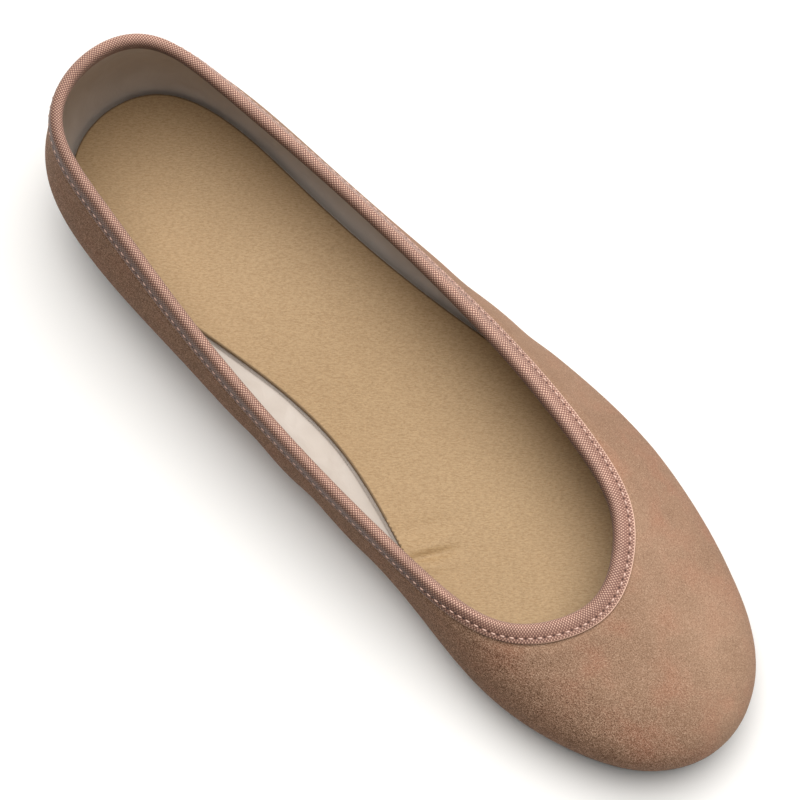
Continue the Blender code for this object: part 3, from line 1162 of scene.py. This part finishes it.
    def build_stitches(self, seam: Array, outward: Array, count: int) -> Piece:
        """Model one stitch and copy it along the stitch line, as one mesh.

        Args:
            seam: Points round the stitch line.
            outward: Outward directions there.
            count: Stitches round the loop.

        Returns:
            All the stitches.
        """
        bpy.ops.object.select_all(action="DESELECT")
        lying = (0.0, math.pi / 2.0, 0.0)
        bpy.ops.mesh.primitive_uv_sphere_add(segments=8, ring_count=6, radius=1.0, rotation=lying)
        piece = bpy.context.object
        piece.name = "binding_stitches"
        bpy.ops.object.transform_apply(rotation=True)
        size_mm = (self.stitch_length_mm, self.stitch_width_mm, self.stitch_depth_mm)
        ball = points_of(piece)
        shape = ball * np.array(size_mm) * MM / 2.0
        shape[:, 2] += self.stitch_lift_mm * MM * (1.0 - self.stitch_droop * ball[:, 0] ** 2)
        middles, ups = (resample_loop(rows, seam, count) for rows in (seam, outward))
        ahead, behind = (
            resample_loop(seam, seam, count, side * self.run_reach_mm * MM) for side in (1.0, -1.0)
        )
        runs = (ahead - behind) / np.linalg.norm(ahead - behind, axis=1)[:, None]
        ups = ups / np.linalg.norm(ups, axis=1)[:, None]
        turns = np.stack((runs, np.cross(ups, runs), ups), axis=1)
        points = middles[:, None] + shape @ turns
        faces = [tuple(face.vertices) for face in piece.data.polygons]
        firsts = range(0, len(shape) * count, len(shape))
        copies = [tuple(first + corner for corner in face) for first in firsts for face in faces]
        mesh = bpy.data.meshes.new("binding_stitches")
        mesh.from_pydata(points.reshape(-1, 3).tolist(), [], copies)
        piece.data = mesh
        return piece

    def build(self) -> None:
        """Build and dress the tape and its stitches."""
        tape, *stitch_places = self.build_tape()
        finish_piece(tape, TapeFinish().material(), (CadNode.BINDING,))
        stitches = self.build_stitches(*stitch_places)
        finish_piece(stitches, ThreadFinish().material(), ())


@dataclass
class Insole:
    """The leather bed that the foot stands on."""

    edge_mm: float = 0.5
    divisions: int = 3
    crease_cuts: int = 3
    crease_reach: float = 2.2
    top_normal: Span = (0.5, 0.9)
    creases: tuple[Crease, ...] = (
        Crease(Flat.PLAN, (28.0, -28.5), (36.0, -16.0), 1.1, -0.75),
        Crease(Flat.PLAN, (25.5, -28.0), (33.0, -15.0), 1.8, 0.40),
        Crease(Flat.PLAN, (31.5, -29.0), (39.0, -18.5), 1.3, 0.30),
        Crease(Flat.PLAN, (20.0, -27.0), (29.0, -12.0), 2.2, -0.35),
    )

    def build(self) -> None:
        """Build and dress the insole."""
        piece = copy_of_node(CadNode.INSOLE, "insole_bed")
        bevel_sharp_edges(piece, self.edge_mm)
        subdivide_smoothly(piece, self.divisions)
        centres, facing = face_places(piece)
        near = np.any([crease.near(centres, self.crease_reach) for crease in self.creases], axis=0)
        creased = near & (facing[:, 2] > self.top_normal[1])
        edit_faces(piece, creased, bpy.ops.mesh.subdivide, {"number_cuts": self.crease_cuts})
        points, normals = points_of(piece), normals_of(piece)
        rim = search_tree(points[np.abs(normals[:, 2]) < self.top_normal[0]])
        from_rim = np.array([rim.find(point)[2] for point in points]) / MM
        attribute = piece.data.attributes.new("rim_mm", "FLOAT", "POINT")
        attribute.data.foreach_set("value", from_rim.astype(np.float32))
        crease_surface(piece, self.creases, smooth_step(normals[:, 2], *self.top_normal))
        finish_piece(piece, InsoleFinish().material(), (CadNode.INSOLE,))


@dataclass
class Bottom:
    """Rubber outsole and low heel."""

    outsole_edge_mm: float = 0.45
    outsole_tuck_mm: float = 0.45
    shows_at_toe_mm: float = 0.40
    heel_edge_mm: float = 0.6
    divisions: int = 2

    def build(self) -> None:
        """Build and dress the outsole and the heel."""
        outsole = copy_of_node(CadNode.OUTSOLE, "outsole_sheet")
        bevel_sharp_edges(outsole, self.outsole_edge_mm)
        subdivide_smoothly(outsole, self.divisions)
        sideways = normals_of(outsole) * np.array((1.0, 1.0, 0.0))
        at_toe = np.clip(sideways[:, :1], 0.0, 1.0) ** 2
        tuck_mm = self.outsole_tuck_mm - self.shows_at_toe_mm * at_toe
        move_points(outsole, points_of(outsole) - sideways * tuck_mm * MM)
        rubber = RubberFinish("sole_rubber_moulded")
        finish_piece(outsole, rubber.material(), (CadNode.OUTSOLE,))
        heel = copy_of_node(CadNode.HEEL, "heel_block_moulded")
        bevel_sharp_edges(heel, self.heel_edge_mm)
        subdivide_smoothly(heel, self.divisions)
        rubber = RubberFinish("heel_rubber_moulded", dark="#4A382C", tread_mm=1.8)
        finish_piece(heel, rubber.material(), (CadNode.HEEL,))


# Studio


@dataclass
class Studio:
    """Pale floor, soft light and the camera."""

    floor_side: float = 9.0
    floor_colour: str = "#F3F2F0"
    floor_fibre: Grain = Grain(3.0, 3.0)
    floor_relief: Relief = (0.1, 0.1)
    sky_strength: float = 0.20
    key_strength: float = 3.85
    key_softness_deg: float = 62.0
    key_colour: str = "#FFFEFC"
    key_from: tuple[float, float, float] = (-0.17, 0.25, 0.953)
    azimuth_deg: float = 45.0
    elevation_deg: float = 75.5
    distance: float = 0.95
    lens: float = 160.65
    sensor: float = 36.0
    clip: Span = (0.05, 60.0)
    aim: tuple[float, float, float] = (-0.0023, -0.0003, 0.018)

    def lay_floor(self) -> None:
        """Lay a plain pale floor under the shoe."""
        bpy.ops.object.select_all(action="DESELECT")
        bpy.ops.mesh.primitive_plane_add(size=self.floor_side)
        floor = bpy.context.object
        floor.name = "floor"
        # Matt paper gives an even, pale ground with no shine
        material, tree, place = new_material("paper_backdrop_matt")
        fibre = add_node(tree, "TexNoise", self.floor_fibre.at(place))
        gloss = {"Roughness": 0.9, "Specular IOR Level": 0.2}
        shade(tree, gloss, linear(self.floor_colour), ((fibre, self.floor_relief),))
        floor.data.materials.append(material)
        floor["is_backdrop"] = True

    def light(self) -> None:
        """Light the shoe from its outer side with one soft key and a white surround."""
        world = bpy.data.worlds.new("studio_surround")
        world.use_nodes = True
        sky = world.node_tree.nodes["Background"].inputs
        sky["Color"].default_value = WHITE
        sky["Strength"].default_value = self.sky_strength
        bpy.context.scene.world = world
        lamp = bpy.data.lights.new("key_light", "SUN")
        lamp.energy = self.key_strength
        lamp.angle = math.radians(self.key_softness_deg)
        lamp.color = linear(self.key_colour)[:3]
        key = bpy.data.objects.new("key_light", lamp)
        key.rotation_euler = Vector(self.key_from).to_track_quat("Z", "Y").to_euler()
        bpy.context.scene.collection.objects.link(key)

    def set_camera(self) -> None:
        """Look down on the shoe at the photograph's angle, with the whole shoe in the frame."""
        azimuth, elevation = math.radians(self.azimuth_deg), math.radians(self.elevation_deg)
        level = math.cos(elevation)
        back = Vector((math.sin(azimuth) * level, -math.cos(azimuth) * level, math.sin(elevation)))
        lens = bpy.data.cameras.new("camera")
        lens.lens = self.lens
        lens.sensor_width = self.sensor
        lens.clip_start, lens.clip_end = self.clip
        camera = bpy.data.objects.new("camera", lens)
        camera.location = Vector(self.aim) + back * self.distance
        camera.rotation_euler = (-back).to_track_quat("-Z", "Y").to_euler()
        bpy.context.scene.collection.objects.link(camera)
        bpy.context.scene.camera = camera
        bpy.context.scene.view_settings.view_transform = "Standard"

    def build(self) -> None:
        """Set up the whole studio."""
        self.lay_floor()
        self.light()
        self.set_camera()


def write_sizes() -> None:
    """Put the CAD box and the visual model's box side by side; nothing is written."""
    boxes = {"cad": CAD_BOX, "visual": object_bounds()}
    boxes = {name: [list(corner) for corner in box] for name, box in boxes.items()}


def main() -> None:
    """Build the shoe from its sub-assemblies, then the studio round it."""
    logging.basicConfig(level=logging.INFO, format="%(message)s")
    for assembly in (Upper(), Binding(), Insole(), Bottom()):
        assembly.build()
    Studio().build()
    write_sizes()


if __name__ == "__main__":
    main()
